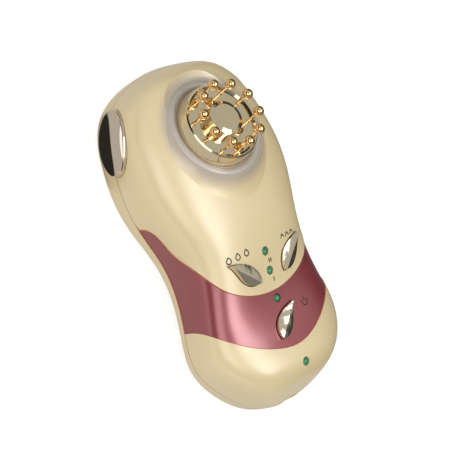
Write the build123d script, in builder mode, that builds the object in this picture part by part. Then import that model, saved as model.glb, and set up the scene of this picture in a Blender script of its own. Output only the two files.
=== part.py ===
from build123d import *
import os
from math import cos, pi, radians, sin, tan

# Facial toning device: a palm-sized body of two plastic half shells with an inlaid waist band, a
# massage head with ten ball pins, two side contact plates, three leaf-shaped keys and four lamps.
#
# Frame, in millimetres: +Y runs towards the massage head, +X to the right and +Z out of the face.
# The origin lies on the flat underside, below the middle of the body.

os.makedirs("parts", exist_ok=True)

# ------------------------------------------------------------------ driving dimensions: body

body_length = 128.0
parting_height = 11.0  # the two shells meet in this plane
wall = 2.4
floor = 2.4
form_clearance = 100.0  # longer than anything a cutting prism has to pass

# Sections of the body from foot to head. The angle places a section at half the body's length
# times its sine. The numbers after it are half width, height over the parting plane, depth under
# it, and the squareness of the upper and of the lower part.
sections = [
    (-84, 5.0, 3.2, 4.2, 0.79, 0.82),
    (-72, 13.0, 9.5, 9.6, 0.80, 0.83),
    (-60, 20.0, 17.9, 11.3, 0.81, 0.84),
    (-48, 27.0, 21.0, 10.4, 0.84, 0.85),
    (-36, 31.6, 19.2, 8.1, 0.86, 0.86),
    (-24, 30.3, 18.8, 7.0, 0.87, 0.87),
    (-12, 27.8, 20.8, 7.2, 0.86, 0.88),
    (0, 28.1, 23.0, 8.5, 0.85, 0.89),
    (12, 31.7, 23.3, 10.2, 0.84, 0.90),
    (24, 33.5, 22.3, 11.8, 0.83, 0.91),
    (36, 32.4, 20.6, 12.7, 0.82, 0.91),
    (48, 30.2, 18.2, 12.4, 0.81, 0.91),
    (60, 25.5, 16.4, 10.9, 0.80, 0.91),
    (72, 17.2, 14.2, 7.8, 0.79, 0.91),
    (84, 6.2, 6.4, 3.1, 0.78, 0.91),
]

# ------------------------------------------------------------------ driving dimensions: waist band

band_setback = 0.25  # the band's face lies this far under the shells' face
band_thickness = 1.0
band_gap = 0.1
# Right-hand halves of the band's two edges, seen from above, from the middle out past the side.
band_upper_edge = [
    (0, -22.6), (12.4, -20.2), (21.6, -13.9), (25.6, -5.6), (28.6, 4.5), (31.9, 15.0), (36.0, 28.0),
]
band_lower_edge = [
    (0, -43.4), (10.4, -41.2), (18.8, -37.0), (25.2, -32.2), (29.0, -27.6), (30.4, -23.6), (34.0, -15.0),
]

# ------------------------------------------------------------------ driving dimensions: massage head

head_tilt = 17.5  # degrees, leaning towards the head end
seat_centre = (0, 38.4, 31.55)
seat_radius = 19.3  # flat seat in the upper shell, square to the head's axis
# Distance from the head's axis and height over the seat: of the roof's hollow rise up to the seat,
# and of the dish that frees the seat where the roof would stand above it.
seat_flare = [(19.0, 0), (20.5, -1.7), (23.0, -3.6), (26.5, -5.4)]
seat_flare_base = -7.0
seat_dish = [(seat_radius, 0), (21.6, 0.7), (26.0, 3.4)]
seat_dish_reach = 14.0
seat_backing = 2.4
seat_backing_margin = 1.2
hub_backing = 4.2
hub_backing_radius = 11.0
gasket_inner = 15.7
gasket_outer = 18.7
gasket_depth = 1.2
gasket_rise = 0.9
disc_foot_radius = 15.5
disc_rim_radius = 14.4
disc_height = 5.5
disc_dish = 1.15  # the mirror face lies this far under the rim
disc_rim_slope = 1.7  # from the rim's outer edge to the foot of its inner slope
disc_rim_land = 0.35
disc_rim_round = 0.45
disc_foot_step = 0.5
disc_bulge = (14.9, 2.7)  # a point of the curved side, from the axis and over the seat
disc_plate = 1.8
disc_wall = 1.4
disc_hub_radius = 6.0
boss_radius = 6.4
boss_top_radius = 5.0
boss_bevel = 0.5
boss_height = 3.1  # over the rim
stud_radius = 2.0
stud_reach = 9.2  # below the seat
bush_radius = 4.1
pin_count = 10
pin_circle_radius = 11.66
ball_radius = 1.9
first_pin_angle = 18.0
ball_height = 6.1  # ball centres over the rim
pin_stem_radius = 0.4
pin_collar_radius = 0.75
pin_collar_height = 0.4
bush_flange_radius = 7.0
bush_flange_thickness = 1.2
stud_gap = 0.05
tag_radius = 4.5
tag_thickness = 0.5
tag_reach = 9.0
tag_half_width = 1.5
washer_radius = 3.6
washer_thickness = 0.6
head_nut_width = 7.0
head_nut_thickness = 2.4

# ------------------------------------------------------------------ driving dimensions: side plates

plate_centre = (30.5, 46.9, 13.1)
plate_turn = 21.9  # degrees that the side faces away from square
plate_lean = 4.0  # degrees that the plate faces upwards
plate_half_length = 11.8
plate_half_width = 6.6
plate_proud = 2.1
plate_long_radius = 30.0  # bulge along the plate
plate_cross_radius = 14.0  # bulge across the plate
plate_edge_radius = 0.55
plate_gap = 0.1
plate_flange = 1.5
plate_flange_depth = 1.0
plate_stud_radius = 1.2
plate_stud_end = -7.4  # along the plate's outward axis, from its centre
plate_pad_radius = 2.4  # flat-ended pad round the stud, on the plate's back
terminal_radius = 2.7
terminal_seat = -4.3
terminal_thickness = 0.5
terminal_reach = 6.8
terminal_half_width = 1.2
plate_nut_width = 4.0
plate_nut_thickness = 1.6

# ------------------------------------------------------------------ driving dimensions: keys

# Plan of a leaf, from its outer tip to its inner one: the bulging edge and the S-shaped one.
leaf_back = [(-7.6, 0.9), (-3.0, 2.75), (2.7, 3.1), (7.6, -1.2)]
leaf_belly = [(-7.6, 0.9), (-3.2, -0.9), (1.1, -3.1), (4.9, -3.0), (7.6, -1.2)]
leaf_tip_margin = 1.5  # share of a margin that goes on each tip
key_turn = 34.0  # degrees between a leaf and the X axis
mode_key_place = (12.0, -12.4)
power_key_place = (0.0, -34.0)
key_rise = 1.7  # of the ridge over the shell's face
key_gap = 0.25
# Cross-section of a key's crown: distance from the ridge and height over the shell's face.
key_crown = [(0, key_rise), (3.0, 0.95), (6.0, -0.5)]
key_crown_base = -8.0
key_crown_reach = 12.0
key_flange = 1.2
key_flange_top = 2.85  # below the shell's face
key_flange_thickness = 0.85
key_pocket_depth = 2.6
key_pocket_margin = 1.6
key_stem_radius = 1.6

# ------------------------------------------------------------------ driving dimensions: inside

board_top = 20.0
board_thickness = 1.6
board_front = 10.0
board_rear = -43.5
board_half_width = 19.0
board_tongue_half_width = 8.0
board_tongue_end = -56.5
board_screw_places = [(-16.0, 5.5), (16.0, 5.5), (-16.0, -29.0), (16.0, -29.0)]
board_boss_radius = 2.4
board_screw_radius = 0.85
board_screw_reach = 4.6
board_screw_head_radius = 1.8
board_screw_head_height = 1.2

switch_size = 6.0
switch_height = 3.4
plunger_radius = 1.7
plunger_gap = 0.07
plunger_top = board_top + 5.0
plunger_sunk = 1.0
plunger_room = 1.6

lamp_places = {"high": -8.3, "medium": -15.4, "power": -25.7, "charge": -50.3}
lamp_radius = 1.5
lamp_flange_radius = 1.9
lamp_flange_height = 1.0
lamp_length = 5.0
lamp_rise = 0.35
lamp_hole_radius = 1.6
lamp_leg = 0.5
lamp_leg_pitch = 2.54

cell_radius = 5.25
cell_length = 44.5
cell_pitch = 10.9
cell_height = 12.05  # axis over the underside
cell_middle = -10.0
cell_nub_radius = 1.9
cell_nub_length = 0.8
sleeve_thickness = 0.3
sleeve_start, sleeve_end = -24.0, 4.0
cradle_places = [-27.5, 7.5]
cradle_top = 11.3
cradle_thickness = 1.8
cradle_gap = 0.1
cradle_half_width = 13.0
tab_thickness = 0.2
tab_width = 4.0
tab_height = 7.0

casing_screw_places = [(-18.0, 27.0), (18.0, 27.0), (-16.5, -48.0), (16.5, -48.0)]
casing_screw_radius = 1.15
casing_screw_head_radius = 2.3
casing_screw_head_height = 1.8
casing_screw_seat = 4.0
casing_screw_tip = 16.0
pilot_room = 1.0  # a pilot hole runs this far past the screw's tip
casing_boss_radius = 3.2
tower_radius = 3.9
counterbore_radius = 2.7
clearance_hole_radius = 1.35

inlet_height = 14.9
inlet_radius = 3.3
inlet_pocket_radius = 3.7
inlet_outer_face = -61.0
inlet_inner_face = -58.2
inlet_boss_radius = 5.2
jack_front = -58.0
jack_length = 11.0
jack_width = 9.0
jack_socket_radius = 2.85
jack_socket_depth = 8.5
jack_pin_radius = 0.95
jack_pin_setback = 1.5
jack_height = 7.2

connector_place = (0.0, 6.6)
connector_size = (7.5, 5.0, 4.6)
controller_place = (-8.5, -23.5)
controller_size = (6.0, 5.0, 1.5)
controller_leg = (0.4, 1.0, 0.2)
controller_leg_pitch = 1.27
transformer_place = (9.5, -22.5)
transformer_size = (8.0, 7.0, 5.6)
transformer_bobbin = (9.2, 4.6, 3.6)
capacitor_places = [(-7.5, 1.5), (7.5, 1.5)]
capacitor_radius = 2.5
capacitor_height = 6.0

wire_radius = 0.6
lead_lift = 0.35  # solder under a lead's end
lead_setback = 1.0  # a lead ends this far from a tag's tip
bend_share = 0.45  # of the shorter run beside a bend that its arc takes


# ------------------------------------------------------------------ shared forms and planes

def body_form(inset):
    """The body's closed form, drawn in by inset all round."""
    half = body_length / 2 - inset
    slices = [Vertex(0, -half, parting_height)]
    for angle, width, height, depth, crown, keel in sections:
        shrink = inset * cos(radians(angle))
        side = width - shrink
        top = parting_height + height - shrink
        bottom = parting_height - depth + shrink
        shoulder = parting_height + crown * (height - shrink)
        bilge = parting_height - keel * (depth - shrink)
        with BuildSketch(Plane.XZ.offset(-half * sin(radians(angle)))) as section:
            with BuildLine():
                Bezier((-side, parting_height), (-side, shoulder), (-crown * side, top), (0, top))
                Bezier((0, top), (crown * side, top), (side, shoulder), (side, parting_height))
                Bezier((side, parting_height), (side, bilge), (keel * side, bottom), (0, bottom))
                Bezier((0, bottom), (-keel * side, bottom), (-side, bilge), (-side, parting_height))
            make_face()
        slices.append(section.sketch)
    slices.append(Vertex(0, half, parting_height))
    with BuildPart() as form:
        loft(sections=slices)
    return form.part


outer_form = body_form(0)
cavity_form = body_form(wall)
parting_plane = Plane.XY.offset(parting_height)


def touch_plane(x, y):
    """Plane that touches the outer form above the point (x, y)."""
    point, normal = outer_form.find_intersection_points(Axis((x, y, form_clearance), (0, 0, -1)))[0]
    return Plane(origin=point, z_dir=normal)


tilt = radians(head_tilt)
head_plane = Plane(origin=seat_centre, x_dir=(1, 0, 0), z_dir=(0, sin(tilt), cos(tilt)))
head_section = Plane(origin=seat_centre, x_dir=(1, 0, 0), z_dir=(0, -cos(tilt), sin(tilt)))
head_axis = Axis(seat_centre, head_plane.z_dir)


def moved_left(points, distance):
    """The points, each moved distance to the left of the line through its neighbours."""
    moved = []
    for before, point, after in zip(points[:1] + points, points, points[1:] + points[-1:]):
        ahead = (Vector(*after) - Vector(*before)).normalized()
        moved.append((point[0] - ahead.Y * distance, point[1] + ahead.X * distance))
    return moved


def band_prism(margin):
    """Upright prism over the band's plan, margin wider than the band along its edges."""
    upper = [(-x, y) for x, y in reversed(band_upper_edge[1:])] + band_upper_edge
    lower = [(-x, y) for x, y in reversed(band_lower_edge[1:])] + band_lower_edge
    upper = moved_left(upper, margin)
    lower = moved_left(lower, -margin)
    with BuildPart() as prism:
        with BuildSketch(parting_plane):
            with BuildLine():
                Spline(*upper)
                Line(upper[-1], lower[-1])
                Spline(*lower)
                Line(lower[0], upper[0])
            make_face()
        extrude(amount=form_clearance)
    return prism.part


# ------------------------------------------------------------------ keys: planes and leaf outline

x_turn, y_turn = cos(radians(key_turn)), sin(radians(key_turn))
mode_x, mode_y = mode_key_place
power_x, power_y = power_key_place
# A key's plan plane has its X axis along the leaf, from the outer tip to the inner one. The left
# key is the mirror image of the right one, so its plane looks down.
key_plans = {
    "left_mode": Plane(origin=(-mode_x, mode_y, 0), x_dir=(x_turn, -y_turn, 0), z_dir=(0, 0, 1)),
    "right_mode": Plane(origin=(mode_x, mode_y, 0), x_dir=(-x_turn, -y_turn, 0), z_dir=(0, 0, -1)),
    "power": Plane(origin=(power_x, power_y, 0), x_dir=(-x_turn, -y_turn, 0), z_dir=(0, 0, -1)),
}
key_touch = {name: touch_plane(plan.origin.X, plan.origin.Y) for name, plan in key_plans.items()}


def leaf_prism(key, margin, low, high):
    """Upright leaf prism, margin outside the outline, between two planes along the shell's face."""
    back = moved_left(leaf_back, margin)
    belly = moved_left(leaf_belly, -margin)
    # Both edges end in the same two tips, which move out along the leaf.
    back[0] = belly[0] = (leaf_back[0][0] - leaf_tip_margin * margin, leaf_back[0][1])
    back[-1] = belly[-1] = (leaf_back[-1][0] + leaf_tip_margin * margin, leaf_back[-1][1] - margin / 2)
    with BuildPart() as prism:
        with BuildSketch(key_plans[key]):
            with BuildLine():
                Spline(*back)
                Spline(*belly)
            make_face()
        extrude(amount=form_clearance, both=True)
        split(bisect_by=key_touch[key].offset(high), keep=Keep.BOTTOM)
        split(bisect_by=key_touch[key].offset(low), keep=Keep.TOP)
    return prism.part


# ------------------------------------------------------------------ side plates: planes and prisms

def plate_plane(side):
    """Plane of a side plate: X along the plate, Z outwards. side is 1 on the right, -1 on the left."""
    turn, lean = radians(plate_turn), radians(plate_lean)
    along = Vector(-side * sin(turn), cos(turn), 0)
    outward = Vector(side * cos(turn) * cos(lean), sin(turn) * cos(lean), sin(lean))
    x, y, z = plate_centre
    return Plane(origin=(side * x, y, z), x_dir=along, z_dir=outward)


def plate_prism(side, margin, reach):
    """Oval prism through the wall at a side plate, reach to both sides of the plate's plane."""
    with BuildPart() as prism:
        with BuildSketch(plate_plane(side)):
            Ellipse(plate_half_length + margin, plate_half_width + margin)
        extrude(amount=reach, both=True)
    return prism.part


plate_sides = {"left": -1, "right": 1}
plate_reach = 8.0
plate_window = {name: plate_prism(side, plate_gap, plate_reach) for name, side in plate_sides.items()}
flange_back = wall + plate_gap + plate_flange_depth

# ------------------------------------------------------------------ lamps and screws: shared places

lamp_touch = {name: touch_plane(0, y) for name, y in lamp_places.items()}

# ------------------------------------------------------------------ upper shell

with BuildPart() as band_recess:
    add(band_prism(band_gap))
    add(body_form(band_setback + band_thickness + band_gap / 2), mode=Mode.SUBTRACT)

# The hollow of the upper shell: the cavity less everything that stands in it.
upright = (Align.CENTER, Align.CENTER, Align.MIN)
hanging = (Align.CENTER, Align.CENTER, Align.MAX)
with BuildPart() as upper_core:
    add(cavity_form)
    # Bosses that hang from the roof: for the casing screws and for the circuit board's screws.
    with Locations(*[(x, y, parting_height) for x, y in casing_screw_places]):
        Cylinder(casing_boss_radius, form_clearance, align=upright, mode=Mode.SUBTRACT)
    with Locations(*[(x, y, board_top) for x, y in board_screw_places]):
        Cylinder(board_boss_radius, form_clearance, align=upright, mode=Mode.SUBTRACT)
    # Flat backing of the head's seat, and a thicker hub round the stud.
    with Locations(head_plane.offset(-seat_backing)):
        Cylinder(seat_radius + seat_backing_margin, seat_backing * 4, align=upright, mode=Mode.SUBTRACT)
    with Locations(head_plane.offset(-hub_backing)):
        Cylinder(hub_backing_radius, hub_backing * 2, align=upright, mode=Mode.SUBTRACT)
    # Boss of the charging inlet.
    with BuildSketch(Plane.XZ.offset(-inlet_inner_face)):
        with Locations((0, inlet_height)):
            Circle(inlet_boss_radius)
    extrude(amount=2 * wall + inlet_boss_radius, mode=Mode.SUBTRACT)

with BuildPart() as upper_shell:
    add(outer_form)
    split(bisect_by=parting_plane, keep=Keep.TOP)
    # Hollow rise of the roof up to the flat seat of the massage head.
    with BuildSketch(head_section):
        with BuildLine():
            Spline(*seat_flare)
            Polyline(seat_flare[-1], (seat_flare[-1][0], seat_flare_base), (0, seat_flare_base), (0, 0),
                     seat_flare[0])
        make_face()
    revolve(axis=head_axis)
    # Dish that frees the seat where the roof would stand above it.
    with BuildSketch(head_section):
        with BuildLine():
            Spline(*seat_dish, tangents=((1, 0.05), (1, 0.75)))
            Polyline(seat_dish[-1], (seat_dish[-1][0], seat_dish_reach), (0, seat_dish_reach), (0, 0),
                     seat_dish[0])
        make_face()
    revolve(axis=head_axis, mode=Mode.SUBTRACT)
    add(band_recess.part, mode=Mode.SUBTRACT)
    # Groove of the gasket and hole of the insulating bush.
    with BuildSketch(head_plane.offset(-gasket_depth)):
        Circle(gasket_outer)
        Circle(gasket_inner, mode=Mode.SUBTRACT)
    extrude(amount=gasket_depth, mode=Mode.SUBTRACT)
    with Locations(head_plane):
        Hole(bush_radius, depth=2 * hub_backing)
    # Pilot holes of both kinds of screws.
    with Locations(*[(x, y, 0) for x, y in casing_screw_places]):
        Cylinder(casing_screw_radius, casing_screw_tip + pilot_room, align=upright, mode=Mode.SUBTRACT)
    with Locations(*[(x, y, 0) for x, y in board_screw_places]):
        Cylinder(board_screw_radius, board_top + board_screw_reach, align=upright, mode=Mode.SUBTRACT)
    # Charging inlet in the foot end: a shallow pocket outside and the bore behind it.
    with BuildSketch(Plane.XZ.offset(-inlet_outer_face)):
        with Locations((0, inlet_height)):
            Circle(inlet_pocket_radius)
    extrude(amount=wall * 2, mode=Mode.SUBTRACT)
    with BuildSketch(Plane.XZ.offset(-inlet_inner_face - wall)):
        with Locations((0, inlet_height)):
            Circle(inlet_radius)
    extrude(amount=wall * 3, both=True, mode=Mode.SUBTRACT)
    # Lamp holes.
    for touch in lamp_touch.values():
        with BuildSketch(Plane.XY.offset(board_top)):
            with Locations((touch.origin.X, touch.origin.Y)):
                Circle(lamp_hole_radius)
        extrude(amount=form_clearance, mode=Mode.SUBTRACT)
    # Key holes, with a flat pocket behind each one for the key's flange.
    for key in key_plans:
        add(leaf_prism(key, key_gap, -2 * wall, 2 * wall), mode=Mode.SUBTRACT)
        add(leaf_prism(key, key_pocket_margin, -3 * wall, -key_pocket_depth), mode=Mode.SUBTRACT)
    for window in plate_window.values():
        add(window, mode=Mode.SUBTRACT)
    add(upper_core.part, mode=Mode.SUBTRACT)
upper_shell.part.label = "upper_shell"
export_step(upper_shell.part, "parts/upper_shell.step")

# ------------------------------------------------------------------ waist band

with BuildPart() as waist_band:
    add(band_prism(0))
    add(body_form(band_setback), mode=Mode.INTERSECT)
    add(body_form(band_setback + band_thickness), mode=Mode.SUBTRACT)
    with Locations((lamp_touch["power"].origin.X, lamp_touch["power"].origin.Y, board_top)):
        Cylinder(lamp_hole_radius, form_clearance, align=upright, mode=Mode.SUBTRACT)
    add(leaf_prism("power", key_gap, -2 * wall, 2 * wall), mode=Mode.SUBTRACT)
waist_band.part.label = "waist_band"
export_step(waist_band.part, "parts/waist_band.step")

# ------------------------------------------------------------------ lower shell

# Two ribs that cradle the battery cells.
with BuildPart() as cradle:
    with Locations(*[(0, y, 0) for y in cradle_places]):
        Box(2 * cradle_half_width, cradle_thickness, cradle_top, align=upright)
    for side in (-1, 1):
        with BuildSketch(Plane.XZ.offset(-board_front - wall)):
            with Locations((side * cell_pitch / 2, cell_height)):
                Circle(cell_radius + cradle_gap)
        extrude(amount=form_clearance, mode=Mode.SUBTRACT)

with BuildPart() as lower_core:
    add(cavity_form)
    split(bisect_by=Plane.XY.offset(floor), keep=Keep.TOP)
    with Locations(*[(x, y, 0) for x, y in casing_screw_places]):
        Cylinder(tower_radius, parting_height, align=upright, mode=Mode.SUBTRACT)
    add(cradle.part, mode=Mode.SUBTRACT)

with BuildPart() as lower_shell:
    add(outer_form)
    split(bisect_by=parting_plane, keep=Keep.BOTTOM)
    split(bisect_by=Plane.XY, keep=Keep.TOP)
    # Counterbored holes of the casing screws.
    with Locations(*[(x, y, 0) for x, y in casing_screw_places]):
        Cylinder(clearance_hole_radius, form_clearance, align=upright, mode=Mode.SUBTRACT)
        Cylinder(counterbore_radius, casing_screw_seat, align=upright, mode=Mode.SUBTRACT)
    for window in plate_window.values():
        add(window, mode=Mode.SUBTRACT)
    add(lower_core.part, mode=Mode.SUBTRACT)
lower_shell.part.label = "lower_shell"
export_step(lower_shell.part, "parts/lower_shell.step")

# ------------------------------------------------------------------ massage head

gasket_middle = (gasket_inner + gasket_outer) / 2
with BuildPart() as head_gasket:
    with BuildSketch(head_section):
        with BuildLine():
            Polyline((gasket_inner, 0), (gasket_inner, -gasket_depth), (gasket_outer, -gasket_depth),
                     (gasket_outer, 0))
            ThreePointArc((gasket_outer, 0), (gasket_middle, gasket_rise), (gasket_inner, 0))
        make_face()
    revolve(axis=head_axis)
head_gasket.part.label = "head_gasket"
export_step(head_gasket.part, "parts/head_gasket.step")

mirror_height = disc_height - disc_dish
plate_underside = mirror_height - disc_plate
pin_angles = [radians(first_pin_angle + 360 / pin_count * index) for index in range(pin_count)]
pin_feet = [(pin_circle_radius * cos(angle), pin_circle_radius * sin(angle)) for angle in pin_angles]

with BuildPart() as head_disc:
    with BuildSketch(head_section):
        with BuildLine():
            Polyline((disc_foot_radius, disc_foot_step), (disc_foot_radius, 0),
                     (disc_foot_radius - disc_wall, 0), (disc_rim_radius - disc_wall, plate_underside),
                     (disc_hub_radius, plate_underside), (disc_hub_radius, 0),
                     (stud_radius + stud_gap, 0), (stud_radius + stud_gap, mirror_height),
                     (disc_rim_radius - disc_rim_slope, mirror_height),
                     (disc_rim_radius - disc_rim_round - disc_rim_land, disc_height),
                     (disc_rim_radius - disc_rim_round, disc_height),
                     (disc_rim_radius, disc_height - disc_rim_round))
            ThreePointArc((disc_rim_radius, disc_height - disc_rim_round), disc_bulge,
                          (disc_foot_radius, disc_foot_step))
        make_face()
    revolve(axis=head_axis)
    with BuildSketch(head_plane.offset(plate_underside)):
        with Locations(*pin_feet):
            Circle(pin_stem_radius)
    extrude(amount=mirror_height, mode=Mode.SUBTRACT)
head_disc.part.label = "head_disc"
export_step(head_disc.part, "parts/head_disc.step")

boss_top = disc_height + boss_height
with BuildPart() as centre_boss:
    with BuildSketch(head_section):
        with BuildLine():
            Polyline((0, -stud_reach), (stud_radius, -stud_reach), (stud_radius, mirror_height),
                     (boss_radius, mirror_height), (boss_radius, boss_top - boss_bevel),
                     (boss_top_radius, boss_top), (0, boss_top), close=True)
        make_face()
    revolve(axis=head_axis)
centre_boss.part.label = "centre_boss"
export_step(centre_boss.part, "parts/centre_boss.step")

ball_middle = disc_height + ball_height
for index, (foot_x, foot_y) in enumerate(pin_feet, start=1):
    foot = head_plane.from_local_coords((foot_x, foot_y, 0))
    with BuildPart() as ball_pin:
        with BuildSketch(Plane(origin=foot, x_dir=head_section.x_dir, z_dir=head_section.z_dir)):
            with BuildLine():
                Polyline((0, plate_underside), (pin_stem_radius, plate_underside),
                         (pin_stem_radius, mirror_height), (pin_collar_radius, mirror_height),
                         (pin_stem_radius, mirror_height + pin_collar_height),
                         (pin_stem_radius, ball_middle), (0, ball_middle), close=True)
            make_face()
        revolve(axis=Axis(foot, head_plane.z_dir))
        with Locations(head_plane.from_local_coords((foot_x, foot_y, ball_middle))):
            Sphere(ball_radius)
    ball_pin.part.label = f"ball_pin_{index:02d}"
    export_step(ball_pin.part, f"parts/{ball_pin.part.label}.step")

bush_foot = -hub_backing - bush_flange_thickness
with BuildPart() as head_bush:
    with Locations(head_plane.offset(bush_foot)):
        Cylinder(bush_flange_radius, bush_flange_thickness, align=upright)
        Cylinder(bush_radius, -bush_foot, align=upright)
        Cylinder(stud_radius + stud_gap, -bush_foot, align=upright, mode=Mode.SUBTRACT)
head_bush.part.label = "head_bush"
export_step(head_bush.part, "parts/head_bush.step")

tag_foot = bush_foot - tag_thickness
with BuildPart() as head_tag:
    with BuildSketch(head_plane.offset(tag_foot)):
        Circle(tag_radius)
        with Locations((0, -tag_reach / 2)):
            Rectangle(2 * tag_half_width, tag_reach)
        Circle(stud_radius + stud_gap, mode=Mode.SUBTRACT)
    extrude(amount=tag_thickness)
head_tag.part.label = "head_tag"
export_step(head_tag.part, "parts/head_tag.step")

washer_foot = tag_foot - washer_thickness
with BuildPart() as head_washer:
    with Locations(head_plane.offset(washer_foot)):
        Cylinder(washer_radius, washer_thickness, align=upright)
        Cylinder(stud_radius + stud_gap, washer_thickness, align=upright, mode=Mode.SUBTRACT)
head_washer.part.label = "head_washer"
export_step(head_washer.part, "parts/head_washer.step")

with BuildPart() as head_nut:
    with BuildSketch(head_plane.offset(washer_foot - head_nut_thickness)):
        RegularPolygon(head_nut_width / 2, 6, major_radius=False)
        Circle(stud_radius, mode=Mode.SUBTRACT)
    extrude(amount=head_nut_thickness)
head_nut.part.label = "head_nut"
export_step(head_nut.part, "parts/head_nut.step")

# ------------------------------------------------------------------ side contact plates

flange_form = body_form(wall + plate_gap)
back_form = body_form(flange_back)
for name, side in plate_sides.items():
    plane = plate_plane(side)
    across = Plane(origin=plane.origin, x_dir=plane.x_dir, z_dir=plane.x_dir.cross(plane.z_dir))
    spine = plane.origin - plane.z_dir * (plate_cross_radius - plate_proud)
    with BuildPart() as side_plate:
        # Pebble: an arc along the plate, turned about a line behind it, inside the oval outline.
        with BuildSketch(across):
            with BuildLine():
                reach = plate_half_length + plate_flange
                tip = plate_proud - plate_long_radius + (plate_long_radius ** 2 - reach ** 2) ** 0.5
                base = plate_proud - plate_cross_radius
                ThreePointArc((-reach, tip), (0, plate_proud), (reach, tip))
                Polyline((reach, tip), (reach, base), (-reach, base), (-reach, tip))
            make_face()
        revolve(axis=Axis(spine, plane.x_dir))
        add(plate_prism(side, 0, plate_reach), mode=Mode.INTERSECT)
        rim = side_plate.edges().sort_by(Axis(plane.origin, plane.z_dir))[-1]
        fillet(rim, plate_edge_radius)
        add(back_form, mode=Mode.SUBTRACT)
    with BuildPart() as flange:
        add(plate_prism(side, plate_flange, plate_reach))
        add(flange_form, mode=Mode.INTERSECT)
        add(back_form, mode=Mode.SUBTRACT)
    with BuildPart() as finished_plate:
        add(side_plate.part)
        add(flange.part)
        with BuildSketch(plane.offset(plate_stud_end)):
            Circle(plate_stud_radius)
        extrude(amount=-plate_stud_end - wall)
        with BuildSketch(plane.offset(terminal_seat)):
            Circle(plate_pad_radius)
        extrude(amount=-terminal_seat - wall)
    finished_plate.part.label = f"side_plate_{name}"
    export_step(finished_plate.part, f"parts/{finished_plate.part.label}.step")

    with BuildPart() as terminal:
        with BuildSketch(plane.offset(terminal_seat - terminal_thickness)):
            Circle(terminal_radius)
            with Locations((-terminal_reach / 2, 0)):
                Rectangle(terminal_reach, 2 * terminal_half_width)
            Circle(plate_stud_radius, mode=Mode.SUBTRACT)
        extrude(amount=terminal_thickness)
    terminal.part.label = f"side_terminal_{name}"
    export_step(terminal.part, f"parts/{terminal.part.label}.step")

    with BuildPart() as plate_nut:
        with BuildSketch(plane.offset(terminal_seat - terminal_thickness - plate_nut_thickness)):
            RegularPolygon(plate_nut_width / 2, 6, major_radius=False)
            Circle(plate_stud_radius, mode=Mode.SUBTRACT)
        extrude(amount=plate_nut_thickness)
    plate_nut.part.label = f"side_nut_{name}"
    export_step(plate_nut.part, f"parts/{plate_nut.part.label}.step")

# ------------------------------------------------------------------ keys and their switches


def key_crown_prism(key):
    """Prism along the leaf's tips with a ridged roof: all that lies under the key's two facets."""
    plan, touch = key_plans[key], key_touch[key]
    tips = plan.from_local_coords(leaf_back[-1]) - plan.from_local_coords(leaf_back[0])
    climb = -(touch.z_dir.X * tips.X + touch.z_dir.Y * tips.Y) / touch.z_dir.Z
    along = Vector(tips.X, tips.Y, climb).normalized()
    ridge, shoulder, eave = key_crown
    with BuildPart() as prism:
        with BuildSketch(Plane(origin=touch.origin, x_dir=touch.z_dir.cross(along), z_dir=along)):
            with BuildLine():
                ThreePointArc(ridge, shoulder, eave)
                Polyline(eave, (eave[0], key_crown_base), (-eave[0], key_crown_base), (-eave[0], eave[1]))
                ThreePointArc((-eave[0], eave[1]), (-shoulder[0], shoulder[1]), ridge)
            make_face()
        extrude(amount=key_crown_reach, both=True)
    return prism.part


for key, plan in key_plans.items():
    touch = key_touch[key]
    foot_low = -key_flange_top - key_flange_thickness
    with BuildPart() as stem:
        with Locations((plan.origin.X, plan.origin.Y, plunger_top)):
            Cylinder(key_stem_radius, form_clearance, align=upright)
        split(bisect_by=touch.offset(-key_flange_top - key_flange_thickness / 2), keep=Keep.BOTTOM)
    with BuildPart() as leaf_key:
        add(leaf_prism(key, 0, foot_low, key_rise + key_flange))
        add(key_crown_prism(key), mode=Mode.INTERSECT)
        add(leaf_prism(key, key_flange, foot_low, -key_flange_top))
        add(stem.part)
    leaf_key.part.label = f"{key}_key"
    export_step(leaf_key.part, f"parts/{leaf_key.part.label}.step")

    with BuildPart() as switch_body:
        with Locations((plan.origin.X, plan.origin.Y, board_top)):
            Box(switch_size, switch_size, switch_height, align=upright)
        with Locations((plan.origin.X, plan.origin.Y, board_top + switch_height - plunger_room)):
            Cylinder(plunger_radius + plunger_gap, plunger_room, align=upright, mode=Mode.SUBTRACT)
    switch_body.part.label = f"{key}_switch"
    export_step(switch_body.part, f"parts/{switch_body.part.label}.step")

    with BuildPart() as plunger:
        with Locations((plan.origin.X, plan.origin.Y, board_top + switch_height - plunger_sunk)):
            Cylinder(plunger_radius, plunger_top - board_top - switch_height + plunger_sunk, align=upright)
    plunger.part.label = f"{key}_plunger"
    export_step(plunger.part, f"parts/{plunger.part.label}.step")

# ------------------------------------------------------------------ pilot lamps

for name, touch in lamp_touch.items():
    apex = touch.origin.Z + lamp_rise
    x, y = touch.origin.X, touch.origin.Y
    with BuildPart() as lamp:
        with Locations((x, y, apex - lamp_length)):
            Cylinder(lamp_radius, lamp_length - lamp_radius, align=upright)
            Cylinder(lamp_flange_radius, lamp_flange_height, align=upright)
        with Locations((x, y, apex - lamp_radius)):
            Sphere(lamp_radius)
        with Locations((x - lamp_leg_pitch / 2, y, board_top), (x + lamp_leg_pitch / 2, y, board_top)):
            Box(lamp_leg, lamp_leg, apex - lamp_length - board_top, align=upright)
    lamp.part.label = f"lamp_{name}"
    export_step(lamp.part, f"parts/{lamp.part.label}.step")

# ------------------------------------------------------------------ circuit board and what it carries

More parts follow.
